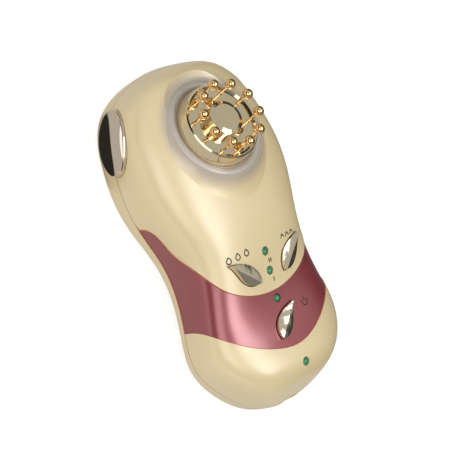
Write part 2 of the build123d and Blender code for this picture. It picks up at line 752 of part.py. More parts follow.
board_underside = board_top - board_thickness
with BuildPart() as circuit_board:
    with BuildSketch(Plane.XY.offset(board_underside)):
        with Locations((0, (board_front + board_rear) / 2)):
            Rectangle(2 * board_half_width, board_front - board_rear)
        with Locations((0, board_rear)):
            Rectangle(2 * board_tongue_half_width, board_rear - board_tongue_end,
                      align=(Align.CENTER, Align.MAX))
        with Locations(*board_screw_places):
            Circle(board_screw_radius, mode=Mode.SUBTRACT)
    extrude(amount=board_thickness)
circuit_board.part.label = "circuit_board"
export_step(circuit_board.part, "parts/circuit_board.step")

with BuildPart() as controller_chip:
    width, depth, height = controller_size
    leg_width, leg_reach, leg_height = controller_leg
    with Locations((*controller_place, board_top)):
        Box(width, depth, height, align=upright)
        with GridLocations(controller_leg_pitch, depth + leg_reach, 4, 2):
            Box(leg_width, leg_reach, leg_height, align=upright)
controller_chip.part.label = "controller_chip"
export_step(controller_chip.part, "parts/controller_chip.step")

with BuildPart() as transformer:
    with Locations((*transformer_place, board_top)):
        Box(*transformer_size, align=upright)
        Box(*transformer_bobbin, align=upright)
transformer.part.label = "step_up_transformer"
export_step(transformer.part, "parts/step_up_transformer.step")

with BuildPart() as capacitors:
    with Locations(*[(x, y, board_top) for x, y in capacitor_places]):
        Cylinder(capacitor_radius, capacitor_height, align=upright)
capacitors.part.label = "capacitors"
export_step(capacitors.part, "parts/capacitors.step")

with BuildPart() as battery_connector:
    with Locations((*connector_place, board_top)):
        Box(*connector_size, align=upright)
battery_connector.part.label = "battery_connector"
export_step(battery_connector.part, "parts/battery_connector.step")

with BuildPart() as charging_jack:
    with Locations((0, jack_front, board_underside)):
        Box(jack_width, jack_length, jack_height, align=(Align.CENTER, Align.MIN, Align.MAX))
    with BuildSketch(Plane.XZ.offset(-jack_front)):
        with Locations((0, inlet_height)):
            Circle(jack_socket_radius)
    extrude(amount=-jack_socket_depth, mode=Mode.SUBTRACT)
    with BuildSketch(Plane.XZ.offset(-jack_front - jack_socket_depth)):
        with Locations((0, inlet_height)):
            Circle(jack_pin_radius)
    extrude(amount=jack_socket_depth - jack_pin_setback)
charging_jack.part.label = "charging_jack"
export_step(charging_jack.part, "parts/charging_jack.step")

# ------------------------------------------------------------------ battery

for name, side in plate_sides.items():
    nub_end = side  # the right cell has its nub at the front, the left one at the rear
    flat_end = cell_middle - nub_end * cell_length / 2
    with BuildPart() as cell:
        with BuildSketch(Plane.XZ.offset(-flat_end)):
            with Locations((side * cell_pitch / 2, cell_height)):
                Circle(cell_radius)
        extrude(amount=-nub_end * (cell_length - cell_nub_length))
        with BuildSketch(Plane.XZ.offset(-flat_end)):
            with Locations((side * cell_pitch / 2, cell_height)):
                Circle(cell_nub_radius)
        extrude(amount=-nub_end * cell_length)
    cell.part.label = f"battery_cell_{name}"
    export_step(cell.part, f"parts/{cell.part.label}.step")

with BuildPart() as battery_sleeve:
    with BuildSketch(Plane.XZ.offset(-sleeve_end)):
        with Locations((0, cell_height)):
            SlotCenterToCenter(cell_pitch, 2 * (cell_radius + sleeve_thickness))
            SlotCenterToCenter(cell_pitch, 2 * cell_radius, mode=Mode.SUBTRACT)
    extrude(amount=sleeve_end - sleeve_start)
battery_sleeve.part.label = "battery_sleeve"
export_step(battery_sleeve.part, "parts/battery_sleeve.step")

cell_front = cell_middle + cell_length / 2
cell_rear = cell_middle - cell_length / 2
with BuildPart() as battery_tabs:
    with Locations((-cell_pitch / 2, cell_front, cell_height), (cell_pitch / 2, cell_front, cell_height)):
        Box(tab_width, tab_thickness, tab_height, align=(Align.CENTER, Align.MIN, Align.CENTER))
    with Locations((0, cell_rear, cell_height)):
        Box(cell_pitch + tab_width, tab_thickness, tab_width, align=(Align.CENTER, Align.MAX, Align.CENTER))
battery_tabs.part.label = "battery_tabs"
export_step(battery_tabs.part, "parts/battery_tabs.step")

# ------------------------------------------------------------------ screws

with BuildPart() as casing_screws:
    with Locations(*[(x, y, casing_screw_seat) for x, y in casing_screw_places]):
        Cylinder(casing_screw_head_radius, casing_screw_head_height, align=hanging)
        Cylinder(casing_screw_radius, casing_screw_tip - casing_screw_seat, align=upright)
casing_screws.part.label = "casing_screws"
export_step(casing_screws.part, "parts/casing_screws.step")

with BuildPart() as board_screws:
    with Locations(*[(x, y, board_underside) for x, y in board_screw_places]):
        Cylinder(board_screw_head_radius, board_screw_head_height, align=hanging)
        Cylinder(board_screw_radius, board_screw_reach, align=upright)
board_screws.part.label = "board_screws"
export_step(board_screws.part, "parts/board_screws.step")

# ------------------------------------------------------------------ leads

tag_tip = head_plane.from_local_coords((0, lead_setback - tag_reach, tag_foot - lead_lift))
terminal_back = terminal_seat - terminal_thickness - lead_lift
plate_tips = {
    name: plate_plane(side).from_local_coords((lead_setback - terminal_reach, 0, terminal_back))
    for name, side in plate_sides.items()
}
tab_face = cell_front + tab_thickness + lead_lift
connector_front = connector_place[1] + connector_size[1] / 2 + lead_lift
lead_routes = {
    "head_lead": [tag_tip, (0.4, 27.6, 24.6), (2.2, 20.0, 22.6), (5.2, 13.2, 24.6), (6.0, 9.4, 24.0),
                  (6.1, 8.6, board_top + lead_lift)],
    "side_lead_left": [plate_tips["left"], (-22.2, 35.8, 14.6), (-12.6, 28.0, 17.0), (-11.4, 17.6, 22.0),
                       (-12.0, 9.6, 24.4), (-12.1, 8.4, board_top + lead_lift)],
    "side_lead_right": [plate_tips["right"], (22.2, 35.8, 14.6), (12.6, 28.0, 17.0), (11.4, 17.6, 22.0),
                        (12.0, 9.6, 24.4), (12.1, 8.4, board_top + lead_lift)],
    "battery_lead_left": [(-5.4, tab_face, 13.6), (-5.2, 15.6, 14.6), (-2.6, 15.0, 21.0),
                          (-1.5, connector_front, 22.4)],
    "battery_lead_right": [(5.4, tab_face, 13.6), (5.2, 15.6, 14.6), (2.6, 15.0, 21.0),
                           (1.5, connector_front, 22.4)],
}


def bend_radii(route):
    """Radius at each inner point of a route, as large as the shorter run beside it allows."""
    points = [Vector(*point) for point in route]
    radii = []
    for before, corner, after in zip(points, points[1:], points[2:]):
        run_in, run_out = corner - before, after - corner
        turn = radians(run_in.get_angle(run_out))
        radii.append(bend_share * min(run_in.length, run_out.length) / tan(turn / 2))
    return radii


for name, route in lead_routes.items():
    with BuildPart() as lead:
        with BuildLine() as path:
            FilletPolyline(*route, radius=bend_radii(route))
        with BuildSketch(Plane(origin=path.line @ 0, z_dir=path.line % 0)):
            Circle(wire_radius)
        sweep(path=path.line)
    lead.part.label = name
    export_step(lead.part, f"parts/{name}.step")
    prism_volume = path.wire().length * pi * wire_radius ** 2
    print(name, "bend radii", [round(radius, 1) for radius in bend_radii(route)],
          "volume against section times length", round(lead.part.volume / prism_volume, 4))
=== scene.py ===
# %% [markdown]
# # A facial toning device
#
# A palm-sized body of champagne pearl plastic lies on a white table. A burgundy band wraps its
# waist, three bright leaf-shaped keys and four green lamps sit in its face, an oval metal plate
# shines on each flank, and the tilted massage head carries ten gilt balls on thin pins.
# The hard parts come ready-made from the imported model. This lesson gives them their surfaces:
# finishes, printed marks, a line of lacquer and studio light.

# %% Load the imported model
import bmesh
import bpy
from math import atan2, cos, pi, radians, sin
from mathutils import Matrix, Vector


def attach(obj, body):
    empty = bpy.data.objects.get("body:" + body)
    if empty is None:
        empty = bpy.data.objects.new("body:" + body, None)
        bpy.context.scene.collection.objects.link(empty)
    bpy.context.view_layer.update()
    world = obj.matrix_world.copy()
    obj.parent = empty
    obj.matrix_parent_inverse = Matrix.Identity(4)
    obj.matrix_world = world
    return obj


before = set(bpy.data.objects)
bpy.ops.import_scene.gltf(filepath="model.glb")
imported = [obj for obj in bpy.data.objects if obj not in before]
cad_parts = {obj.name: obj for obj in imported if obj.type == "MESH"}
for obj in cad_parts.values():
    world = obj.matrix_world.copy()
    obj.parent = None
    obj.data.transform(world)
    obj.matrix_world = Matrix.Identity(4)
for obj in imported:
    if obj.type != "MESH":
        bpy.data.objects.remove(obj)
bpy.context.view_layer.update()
MM = 0.001

# %% [markdown]
# ## Camera
#
# The view comes from above the left flank with a long lens, so that the body is seen almost
# without perspective. The camera is built from its own three directions rather than from angles:
# where its right-hand side, its upper side and its back point to. Two of them are written down.
# Cross products then find the third and square up the second, so that nothing is skewed.

# %% Camera
CAMERA_PLACE = Vector((-564.2, 107.8, 686.3)) * MM
LENS = 198.53
SENSOR_WIDTH = 36
NEAREST_SEEN = 10 * MM

camera_right = Vector((0.684123, -0.361882, 0.633259))
rough_up = Vector((0.349271, 0.924753, 0.151135))
camera_back = camera_right.cross(rough_up).normalized()
camera_up = camera_back.cross(camera_right).normalized()
turn = Matrix((camera_right, camera_up, camera_back)).transposed().to_4x4()

camera_data = bpy.data.cameras.new("camera")
camera_data.sensor_width = SENSOR_WIDTH
camera_data.lens = LENS
camera_data.clip_start = NEAREST_SEEN
camera = bpy.data.objects.new("camera", camera_data)
camera.matrix_world = Matrix.Translation(CAMERA_PLACE) @ turn
bpy.context.scene.collection.objects.link(camera)
bpy.context.scene.camera = camera
print("camera stands", round(camera.location.length, 3), "m from the origin")

# %% [markdown]
# ## A small language for finishes
#
# A finish is a tree of shader nodes. Wiring it by hand takes many lines, so one small class wraps
# a socket and lets plain sums such as 1 - mask add their own Math nodes, and one method adds any
# other node: its settings first, then the values or links of its sockets. The same language
# serves the table and the sky.

# %% Signals
class Signal:
    """An output socket that can stand in a sum."""

    def __init__(self, wiring, socket):
        self.wiring, self.socket = wiring, socket

    def math(self, operation, *values):
        return self.wiring.node("Math", {"operation": operation}, dict(enumerate(values)))

    def __add__(self, other):
        return self.math("ADD", self, other)

    def __sub__(self, other):
        return self.math("SUBTRACT", self, other)

    def __rsub__(self, other):
        return self.math("SUBTRACT", other, self)

    def __mul__(self, other):
        return self.math("MULTIPLY", self, other)

    def __abs__(self):
        return self.math("ABSOLUTE", self)

    __radd__ = __add__
    __rmul__ = __mul__

    def rise(self, start, end):
        """0 below start, 1 above end and a soft step between them."""
        return self.wiring.node("MapRange", {"interpolation_type": "SMOOTHSTEP"},
                                {"Value": self, "From Min": start, "From Max": end})

    def between(self, bottom, top):
        """1 between two soft steps, each given by its start and its end."""
        return self.rise(*bottom) - self.rise(*top)


def span(signal, low, high):
    """A signal between 0 and 1, stretched to run from low to high."""
    return signal * (high - low) + low


# %% Wiring
class Wiring:
    """A shader tree and the ways to add to it."""

    def __init__(self, tree):
        self.tree = tree

    def put(self, socket, value):
        if isinstance(value, Signal):
            self.tree.links.new(value.socket, socket)
        elif isinstance(value, tuple) and socket.type == "RGBA":
            socket.default_value = (*value, 1)
        else:
            socket.default_value = value

    def node(self, kind, settings=None, inputs=None, out=0):
        made = self.tree.nodes.new("ShaderNode" + kind)
        for name, value in (settings or {}).items():
            setattr(made, name, value)
        for name, value in (inputs or {}).items():
            self.put(made.inputs[name], value)
        return Signal(self, made.outputs[out])

    def vector(self, operation, *values, out=0):
        return self.node("VectorMath", {"operation": operation}, dict(enumerate(values)), out)

    def axes(self, vector):
        split = self.tree.nodes.new("ShaderNodeSeparateXYZ")
        self.put(split.inputs[0], vector)
        return [Signal(self, output) for output in split.outputs]

    def place(self):
        return self.node("TexCoord", out="Object")

    def ray_is(self, kind):
        """1 for rays of this kind: Camera or Glossy."""
        return self.node("LightPath", out=f"Is {kind} Ray")

    def noise(self, scale, detail, roughness):
        return self.node("TexNoise", None, {"Vector": self.place(), "Scale": scale,
                                            "Detail": detail, "Roughness": roughness})

    def mix(self, factor, first, second):
        """A colour between two: sockets 0, 6 and 7 are the factor and the two colours."""
        return self.node("Mix", {"data_type": "RGBA"}, {0: factor, 6: first, 7: second}, out=2)

    def bump(self, height, strength, distance):
        return self.node("Bump", None, {"Strength": strength, "Distance": distance, "Height": height})


# %% Finish
class Finish(Wiring):
    """A material with one Principled shader."""

    def __init__(self, name, **sockets):
        self.material = bpy.data.materials.new(name)
        self.material.use_nodes = True
        super().__init__(self.material.node_tree)
        self.shader = self.tree.nodes["Principled BSDF"]
        self.set(**sockets)

    def set(self, **sockets):
        """Sets sockets of the shader: base_color is Base Color."""
        for name, value in sockets.items():
            title = " ".join(word.capitalize() for word in name.split("_")).replace("Ior", "IOR")
            self.put(self.shader.inputs[title], value)


# %% [markdown]
# ## Finishes of the casing
#
# The shells are moulded in plastic full of fine mica, under clear lacquer: a satin pearl whose
# lights are broad and creamy. A slightly metallic base under a soft coat gives that. A very fine
# grain and a slow cloud vary the colour, and the cloud alone varies the gloss. Both could be
# painted on an image, but noise at the place of each point needs none and stays sharp close up.
#
# Round the massage head the pearl turns to a soft grey that fades outwards: painted shade where the
# body meets the head. A thin line of bare plastic shows along the seam between the shells. The band
# is the same paint job in burgundy, a little smoother and much more metallic, and the ring under the
# head is a greyer, duller pearl.

# %% Seam of the pearl and painted shade round the head
SEAM_HEIGHT = 11.0 * MM
SEAM_WIDTH = 0.16 * MM
SEAM_SOFTNESS = 0.4
SEAM_TINT = (0.42, 0.20, 0.07)

HEAD_SEAT = Vector((0, 38.4, 31.55)) * MM
HEAD_TILT = radians(17.5)
head_axis = Vector((0, sin(HEAD_TILT), cos(HEAD_TILT)))
# Painted shade round the base of the head: the pearl greys near the head, and the grey fades out between
# these two distances from its axis.
RING_SHADE_START = 18.4 * MM
RING_SHADE_END = 23.5 * MM
RING_SHADE_SHARE = 0.85
RING_SHADE_TINT = (0.44, 0.385, 0.35)


def mark_seam_and_ring_shade(finish, colour):
    """Adds painted shade round the head, a grey ring, and the line along the seam to a colour."""
    # Distance from the head's axis: the length of a cross product with a unit vector.
    arm = finish.vector("SUBTRACT", finish.place(), tuple(HEAD_SEAT))
    across = finish.vector("CROSS_PRODUCT", arm, tuple(head_axis))
    away = finish.vector("LENGTH", across, out="Value")
    # Painted shade: near the head the pearl is mixed towards a soft grey.
    ring = 1 - away.rise(RING_SHADE_START, RING_SHADE_END)
    colour = finish.mix(ring * RING_SHADE_SHARE, colour, RING_SHADE_TINT)
    height = finish.axes(finish.place())[2]
    seam = 1 - abs(height - SEAM_HEIGHT).rise(
        SEAM_WIDTH * (1 - SEAM_SOFTNESS), SEAM_WIDTH * (1 + SEAM_SOFTNESS))
    return finish.mix(seam, colour, SEAM_TINT)


# %% Casing finishes
GRAIN_SCALE = 5200
GRAIN_DEPTH = 0.02 * MM
GRAIN_STRENGTH = 0.04
CLOUD_SCALE = 38
METAL_SPREAD = 0.05
GLOSS_SPREAD = 0.03
COAT_SPREAD = 0.05


def pearl(name, deep, light, metallic, roughness, coat, coat_roughness, coat_ior=1.5, marked=False):
    """A pearl between a deep and a light colour, marked with the seam and the painted shade round the
    head or not.
    """
    finish = Finish(name, ior=1.5, specular_ior_level=0.9, coat_roughness=coat_roughness,
                    coat_ior=coat_ior)
    grain = finish.noise(GRAIN_SCALE, 3, 0.6)
    cloud = finish.noise(CLOUD_SCALE, 2, 0.5)
    colour = finish.mix(span(grain, -0.25, 0.75) + span(cloud, 0.0, 0.5), deep, light)
    if marked:
        colour = mark_seam_and_ring_shade(finish, colour)
    finish.set(
        base_color=colour,
        metallic=span(grain, metallic - METAL_SPREAD, metallic + METAL_SPREAD),
        roughness=span(cloud, roughness - GLOSS_SPREAD, roughness + GLOSS_SPREAD),
        coat_weight=span(cloud, coat - COAT_SPREAD, coat + COAT_SPREAD),
        normal=finish.bump(grain, GRAIN_STRENGTH, GRAIN_DEPTH))
    return finish.material


pearl_plastic = pearl(
    "champagne_pearl", deep=(0.69, 0.545, 0.295), light=(0.82, 0.685, 0.44),
    metallic=0.04, roughness=0.42, coat=0.9, coat_roughness=0.30, coat_ior=1.7, marked=True)
burgundy_plastic = pearl(
    "burgundy_pearl", deep=(0.24, 0.022, 0.036), light=(0.40, 0.062, 0.085),
    metallic=0.42, roughness=0.34, coat=0.95, coat_roughness=0.24, coat_ior=1.75)
ring_plastic = pearl(
    "ring_pearl", deep=(0.42, 0.375, 0.35), light=(0.58, 0.52, 0.48),
    metallic=0.10, roughness=0.40, coat=0.4, coat_roughness=0.25)
print("casing finishes:", pearl_plastic.name, burgundy_plastic.name, ring_plastic.name)

# %% [markdown]
# ## Plated finishes
#
# Mirror plating is almost the same everywhere, so its detail is slight: a breath of haze in soft
# patches and hair-fine polishing marks. The gilt of the balls is warmer than the disc under them.
# The keys are plated plastic, which is never quite flat. Their meshes could be dented for that,
# but a slow ripple in the finish bends what they reflect and leaves their crowns as they are.

# %% Plated finishes
HAZE_SCALE = 140
POLISH_SCALE = 900
POLISH_DEPTH = 0.01 * MM
POLISH_STRENGTH = 0.03
RIPPLE_SCALE = 230
RIPPLE_DEPTH = 1.0 * MM
RIPPLE_STRENGTH = 0.36


def plating(name, tone, shade, low, high,
            marks_scale=POLISH_SCALE, marks_depth=POLISH_DEPTH, marks_strength=POLISH_STRENGTH):
    """A mirror finish: two tones of metal, and roughness from low to high."""
    finish = Finish(name, metallic=1.0)
    haze = finish.noise(HAZE_SCALE, 3, 0.55)
    marks = finish.noise(marks_scale, 2, 0.4)
    finish.set(
        base_color=finish.mix(haze, tone, shade),
        roughness=span(haze, low, high),
        normal=finish.bump(marks, marks_strength, marks_depth))
    return finish.material


disc_plating = plating("pale_gold_mirror", (0.88, 0.77, 0.55), (0.80, 0.69, 0.47), 0.03, 0.09)
ball_plating = plating("warm_gilt", (0.96, 0.66, 0.34), (0.90, 0.56, 0.25), 0.06, 0.13)
plate_plating = plating("side_plate_mirror", (0.78, 0.70, 0.60), (0.70, 0.62, 0.52), 0.03, 0.09)
key_plating = plating(
    "leaf_key_mirror", (0.84, 0.76, 0.62), (0.74, 0.66, 0.52), 0.10, 0.18,
    marks_scale=RIPPLE_SCALE, marks_depth=RIPPLE_DEPTH, marks_strength=RIPPLE_STRENGTH)
nickel = plating("nickel", (0.66, 0.65, 0.62), (0.56, 0.55, 0.53), 0.18, 0.34)
print("plated finishes:", disc_plating.name, ball_plating.name, plate_plating.name, key_plating.name)

# %% [markdown]
# ## Finishes of the lamps and of the inside
#
# The lamps are clear green epoxy. Inside the casing the parts are plain ones: a solder-masked
# board, black and cream mouldings, shrink-wrapped cells, soft wire. They are seen only when the
# casing is opened, but each has the grain or mottle of its material. One function with two tones
# makes all of them but the board, and it serves the ink and the lacquer too.

# %% Finish of the lamps
lamp_green = Finish("lamp_green", ior=1.5, transmission_weight=0.35, coat_weight=0.6, coat_roughness=0.04)
glow = lamp_green.noise(900, 1, 0.4)
lamp_green.set(
    base_color=lamp_green.mix(glow, (0.03, 0.30, 0.14), (0.08, 0.46, 0.24)),
    roughness=span(glow, 0.08, 0.16))
print("lamp finish:", lamp_green.material.name)

# %% Moulded finishes
MOTTLE_SCALE = 60


def moulded(name, tone, shade, low, high, scale=1800, bump=0.12):
    """A plain finish: two tones in slow clouds, and a grain from low to high roughness."""
    finish = Finish(name)
    grain = finish.noise(scale, 4, 0.6)
    cloud = finish.noise(MOTTLE_SCALE, 2, 0.5)
    finish.set(
        base_color=finish.mix(cloud, tone, shade),
        roughness=span(grain, low, high),
        normal=finish.bump(grain, bump, GRAIN_DEPTH))
    return finish.material


black_moulding = moulded("black_moulding", (0.012, 0.012, 0.013), (0.03, 0.03, 0.032), 0.35, 0.6)
cream_moulding = moulded("cream_moulding", (0.66, 0.60, 0.48), (0.74, 0.69, 0.58), 0.3, 0.5)
ferrite = moulded("ferrite", (0.05, 0.05, 0.052), (0.09, 0.088, 0.086), 0.5, 0.8, 900, 0.3)
sleeve_blue = moulded("capacitor_sleeve", (0.02, 0.025, 0.10), (0.035, 0.045, 0.16), 0.25, 0.4, 700)
cell_wrap = moulded("cell_wrap", (0.02, 0.22, 0.17), (0.035, 0.30, 0.24), 0.22, 0.36, 500)
shrink_wrap = moulded("shrink_wrap", (0.03, 0.12, 0.36), (0.05, 0.18, 0.46), 0.2, 0.35, 400)
wire_red = moulded("wire_red", (0.38, 0.012, 0.012), (0.48, 0.03, 0.025), 0.4, 0.6, 2500)
wire_black = moulded("wire_black", (0.012, 0.012, 0.012), (0.03, 0.03, 0.03), 0.4, 0.6, 2500)
ink = moulded("print_ink", (0.020, 0.017, 0.014), (0.045, 0.038, 0.030), 0.4, 0.6, 3000, 0.05)
lacquer = moulded("burnt_lacquer", (0.36, 0.085, 0.045), (0.48, 0.14, 0.07), 0.25, 0.4, 900, 0.05)
print("moulded finishes:", black_moulding.name, cream_moulding.name, ink.name, lacquer.name)

# %% Finish of the circuit board
TRACK_DEPTH = 0.03 * MM

board = Finish("solder_mask", ior=1.5, coat_weight=0.3)
track_layout = {"Vector": board.place(), "Scale": 260, "Mortar Size": 0.03,
                "Brick Width": 0.9, "Row Height": 0.35}
tracks = board.node("TexBrick", {"offset": 0.5}, track_layout, out="Fac")
board.set(
    base_color=board.mix(tracks, (0.01, 0.10, 0.04), (0.03, 0.20, 0.09)),
    roughness=span(tracks, 0.25, 0.4),
    normal=board.bump(tracks, 0.2, TRACK_DEPTH))
print("board finish:", board.material.name)

# %% [markdown]
# ## Which finish goes on which node
#
# A node's object keeps its mesh and gets a finish in its material slot. Some nodes are named in
# full. The others are told by how their name ends, or else by how it starts, which saves a line
# for each of the many pins, screws and leads.

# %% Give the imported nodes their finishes
finish_of = {
    "upper_shell": pearl_plastic, "lower_shell": pearl_plastic, "waist_band": burgundy_plastic,
    "head_gasket": ring_plastic, "head_disc": disc_plating, "centre_boss": disc_plating,
    "circuit_board": board.material, "step_up_transformer": ferrite, "capacitors": sleeve_blue,
    "battery_sleeve": shrink_wrap}
finish_of_ending = {
    "_key": key_plating, "_switch": black_moulding, "_plunger": cream_moulding,
    "_chip": black_moulding, "_connector": cream_moulding, "_jack": black_moulding,
    "_bush": cream_moulding}
finish_of_start = {
    "ball_pin": ball_plating, "side_plate": plate_plating, "side_terminal": nickel,
    "side_nut": nickel, "side_lead": wire_black, "head_lead": wire_black, "head_": nickel,
    "casing_screws": nickel, "board_screws": nickel, "battery_tabs": nickel,
    "battery_cell": cell_wrap, "battery_lead": wire_red, "lamp_": lamp_green.material}


def finish_for(node):
    if node in finish_of:
        return finish_of[node]
    for ending, finish in finish_of_ending.items():
        if node.endswith(ending):
            return finish
    return next(finish for start, finish in finish_of_start.items() if node.startswith(start))


def dress(piece, finish):
    """Gives a piece this finish and no other."""
    piece.data.materials.clear()
    piece.data.materials.append(finish)


for node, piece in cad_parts.items():
    dress(piece, finish_for(node))
print("finishes in use:", len({finish_for(node).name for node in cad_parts}))

# %% [markdown]
# ## Printed marks
#
# Small marks are printed beside the keys and lamps: droplets over the left key, chevrons over the
# right one, one and two strokes under the level lamps and the usual sign beside the power key.
# They could be painted in a material, but meshes stay crisp and can be given ink of their own.
# Each is put together from bars and arcs that start flat over the casing. They are then joined
# and wrapped down onto the face, and stand a hair above it as ink does.

# %% Straight strokes
STROKE = 0.45 * MM
FLOAT = 45 * MM
BAR_CUTS = 8


def only(*pieces):
    """Selects these pieces and nothing else, the first one active."""
    bpy.ops.object.select_all(action="DESELECT")
    for piece in pieces:
        piece.select_set(True)
    bpy.context.view_layer.objects.active = pieces[0]


def bar(start, end):
    """A flat stroke from start to end, both in millimetres."""
    run = Vector(end) - Vector(start)
    middle = (Vector(start) + Vector(end)) / 2
    bpy.ops.object.select_all(action="DESELECT")
    bpy.ops.mesh.primitive_grid_add(
        x_subdivisions=BAR_CUTS, y_subdivisions=2, size=1,
        location=(middle.x * MM, middle.y * MM, FLOAT), rotation=(0, 0, atan2(run.y, run.x)))
    made = bpy.context.object
    made.scale = (run.length * MM, STROKE, 1)
    bpy.ops.object.transform_apply(location=True, rotation=True, scale=True)
    return made


# %% Round strokes
ARC_POINTS = 72


def arc(centre, radius, gap):
    """A flat ring, centre and radius in millimetres, open at its top for so many degrees."""
    bpy.ops.object.select_all(action="DESELECT")
    outer = radius * MM + STROKE / 2
    bpy.ops.mesh.primitive_circle_add(vertices=ARC_POINTS, radius=outer, fill_type="NOTHING",
                                      location=(centre[0] * MM, centre[1] * MM, FLOAT))
    made = bpy.context.object
    bpy.ops.object.mode_set(mode="EDIT")
    bpy.ops.mesh.select_all(action="SELECT")
    bpy.ops.mesh.extrude_region()
    shrink = 1 - STROKE / outer
    bpy.ops.transform.resize(value=(shrink, shrink, 1))
    bpy.ops.mesh.select_mode(type="VERT")
    bpy.ops.mesh.select_all(action="DESELECT")
    bpy.ops.object.mode_set(mode="OBJECT")
    for vertex in made.data.vertices:
        from_top = atan2(vertex.co.y, vertex.co.x) - pi / 2
        from_top = (from_top + pi) % (2 * pi) - pi
        vertex.select = abs(from_top) < radians(gap) / 2
    bpy.ops.object.mode_set(mode="EDIT")
    bpy.ops.mesh.delete(type="VERT")
    bpy.ops.object.mode_set(mode="OBJECT")
    bpy.ops.object.transform_apply(location=True, rotation=True, scale=True)
    return made


# %% Wrap strokes onto the casing
INK_LIFT = 0.025 * MM


def wrap(name, strokes, node):
    """Joins strokes, wraps them onto a node and gives them ink."""
    only(*strokes)
    bpy.ops.object.join()
    made = bpy.context.object
    made.name = made.data.name = name
    press = made.modifiers.new("press", "SHRINKWRAP")
    press.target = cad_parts[node]
    press.wrap_method = "PROJECT"
    press.use_project_z = True
    press.use_negative_direction = True
    press.use_positive_direction = False
    press.offset = INK_LIFT
    bpy.ops.object.modifier_apply(modifier=press.name)
    bpy.ops.object.mode_set(mode="EDIT")
    bpy.ops.mesh.select_all(action="SELECT")
    bpy.ops.mesh.normals_make_consistent(inside=False)
    bpy.ops.object.mode_set(mode="OBJECT")
    if sum(polygon.normal.z for polygon in made.data.polygons) < 0:
        bpy.ops.object.mode_set(mode="EDIT")
        bpy.ops.mesh.flip_normals()
        bpy.ops.object.mode_set(mode="OBJECT")
    dress(made, ink)
    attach(made, "casing")
    heights = [vertex.co.z / MM for vertex in made.data.vertices]
    print(name, "lies between", round(min(heights), 2), "and", round(max(heights), 2), "mm")


# %% Marks over the mode keys and under the level lamps, in millimetres
DROPS = ((-16.6, -5.9), (-12.6, -5.9), (-8.6, -5.9))
DROP_RADIUS = 0.95
DROP_GAP = 90
TIP_OVERRUN = 0.15
CHEVRONS = (9.8, 12.4, 15.0)
CHEVRON_FOOT = -7.0
CHEVRON_TOP = -5.6
CHEVRON_HALF_WIDTH = 0.95
LEVEL_STROKES = ((0.75, -12.0), (1.65, -12.0), (0.9, -18.9))
LEVEL_HALF_LENGTH = 0.8

strokes = []
for x, y in DROPS:
    strokes.append(arc((x, y), DROP_RADIUS, DROP_GAP))
    tip = (x, y + DROP_RADIUS * 2 ** 0.5 + TIP_OVERRUN)
    shoulder = DROP_RADIUS * cos(radians(DROP_GAP / 2))
    for side in (-1, 1):
        strokes.append(bar((x + side * shoulder, y + shoulder), tip))
for x in CHEVRONS:
    for side in (-1, 1):
        strokes.append(bar((x + side * CHEVRON_HALF_WIDTH, CHEVRON_FOOT), (x, CHEVRON_TOP)))
for x, y in LEVEL_STROKES:
    strokes.append(bar((x, y - LEVEL_HALF_LENGTH), (x, y + LEVEL_HALF_LENGTH)))
wrap("face_marks", strokes, "upper_shell")

# %% Sign beside the power key, in millimetres
SIGN_CENTRE = (11.8, -31.6)
SIGN_RADIUS = 1.35
SIGN_GAP = 80
SIGN_STROKE_FOOT = -31.4
SIGN_STROKE_TOP = -29.8

sign_ring = arc(SIGN_CENTRE, SIGN_RADIUS, SIGN_GAP)
sign_stroke = bar((SIGN_CENTRE[0], SIGN_STROKE_FOOT), (SIGN_CENTRE[0], SIGN_STROKE_TOP))
wrap("power_mark", [sign_ring, sign_stroke], "waist_band")

# %% [markdown]
# ## Line of lacquer round the band
#
# Where the band is let into the shells, its lacquer has gathered in a thin line of burnt orange.
# Its course could be drawn point by point, but the band's own mesh knows where it is: a copy of
# it is merged, and all is deleted but the sharp edges of its outer skin, apart from those round
# the lamp and the key. What is left becomes a curve, and a thin round bevel with closed ends
# makes it a bead. Low on each flank the band's lower edge is too blunt to count as sharp, so the
# bead stops there, short of the seam.

# %% Outline of the band
SHARP = radians(50)
MERGE = 0.001 * MM
LAMP_HOLE = (Vector((0, -25.7)) * MM, 2.2 * MM)
KEY_HOLE = (Vector((0, -34.0)) * MM, 8.4 * MM)


def on_outline(edge):
    """Says whether an edge is sharp, on the band's outer skin and away from the holes."""
    facing = sum(end.normal.dot(Vector((end.co.x, 0, end.co.z - SEAM_HEIGHT))) for end in edge.verts)
    at_hole = any((end.co.xy - middle).length < reach
                  for end in edge.verts for middle, reach in (LAMP_HOLE, KEY_HOLE))
    return edge.calc_face_angle(0) > SHARP and facing > 0 and not at_hole


line = bpy.data.objects.new("band_line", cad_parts["waist_band"].data.copy())
bpy.context.scene.collection.objects.link(line)
only(line)
bpy.ops.object.mode_set(mode="EDIT")
bpy.ops.mesh.select_mode(type="EDGE")
bpy.ops.mesh.select_all(action="SELECT")
bpy.ops.mesh.remove_doubles(threshold=MERGE)
bpy.ops.mesh.select_all(action="DESELECT")
shape = bmesh.from_edit_mesh(line.data)
shape.normal_update()
for edge in shape.edges:
    edge.select_set(not on_outline(edge))
bmesh.update_edit_mesh(line.data)
bpy.ops.mesh.delete(type="EDGE")
bpy.ops.object.mode_set(mode="OBJECT")
print("outline of the band:", len(line.data.edges), "edges")

# %% Bead along the outline
LINE_RADIUS = 0.21 * MM

bpy.ops.object.convert(target="CURVE")
line = bpy.context.object
line.data.bevel_depth = LINE_RADIUS
line.data.bevel_resolution = 1
line.data.use_fill_caps = True
bpy.ops.object.convert(target="MESH")
line = bpy.context.object
line.name = line.data.name = "band_line"
dress(line, lacquer)
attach(line, "casing")
print("line of lacquer:", len(line.data.vertices), "points,", len(line.data.polygons), "faces")

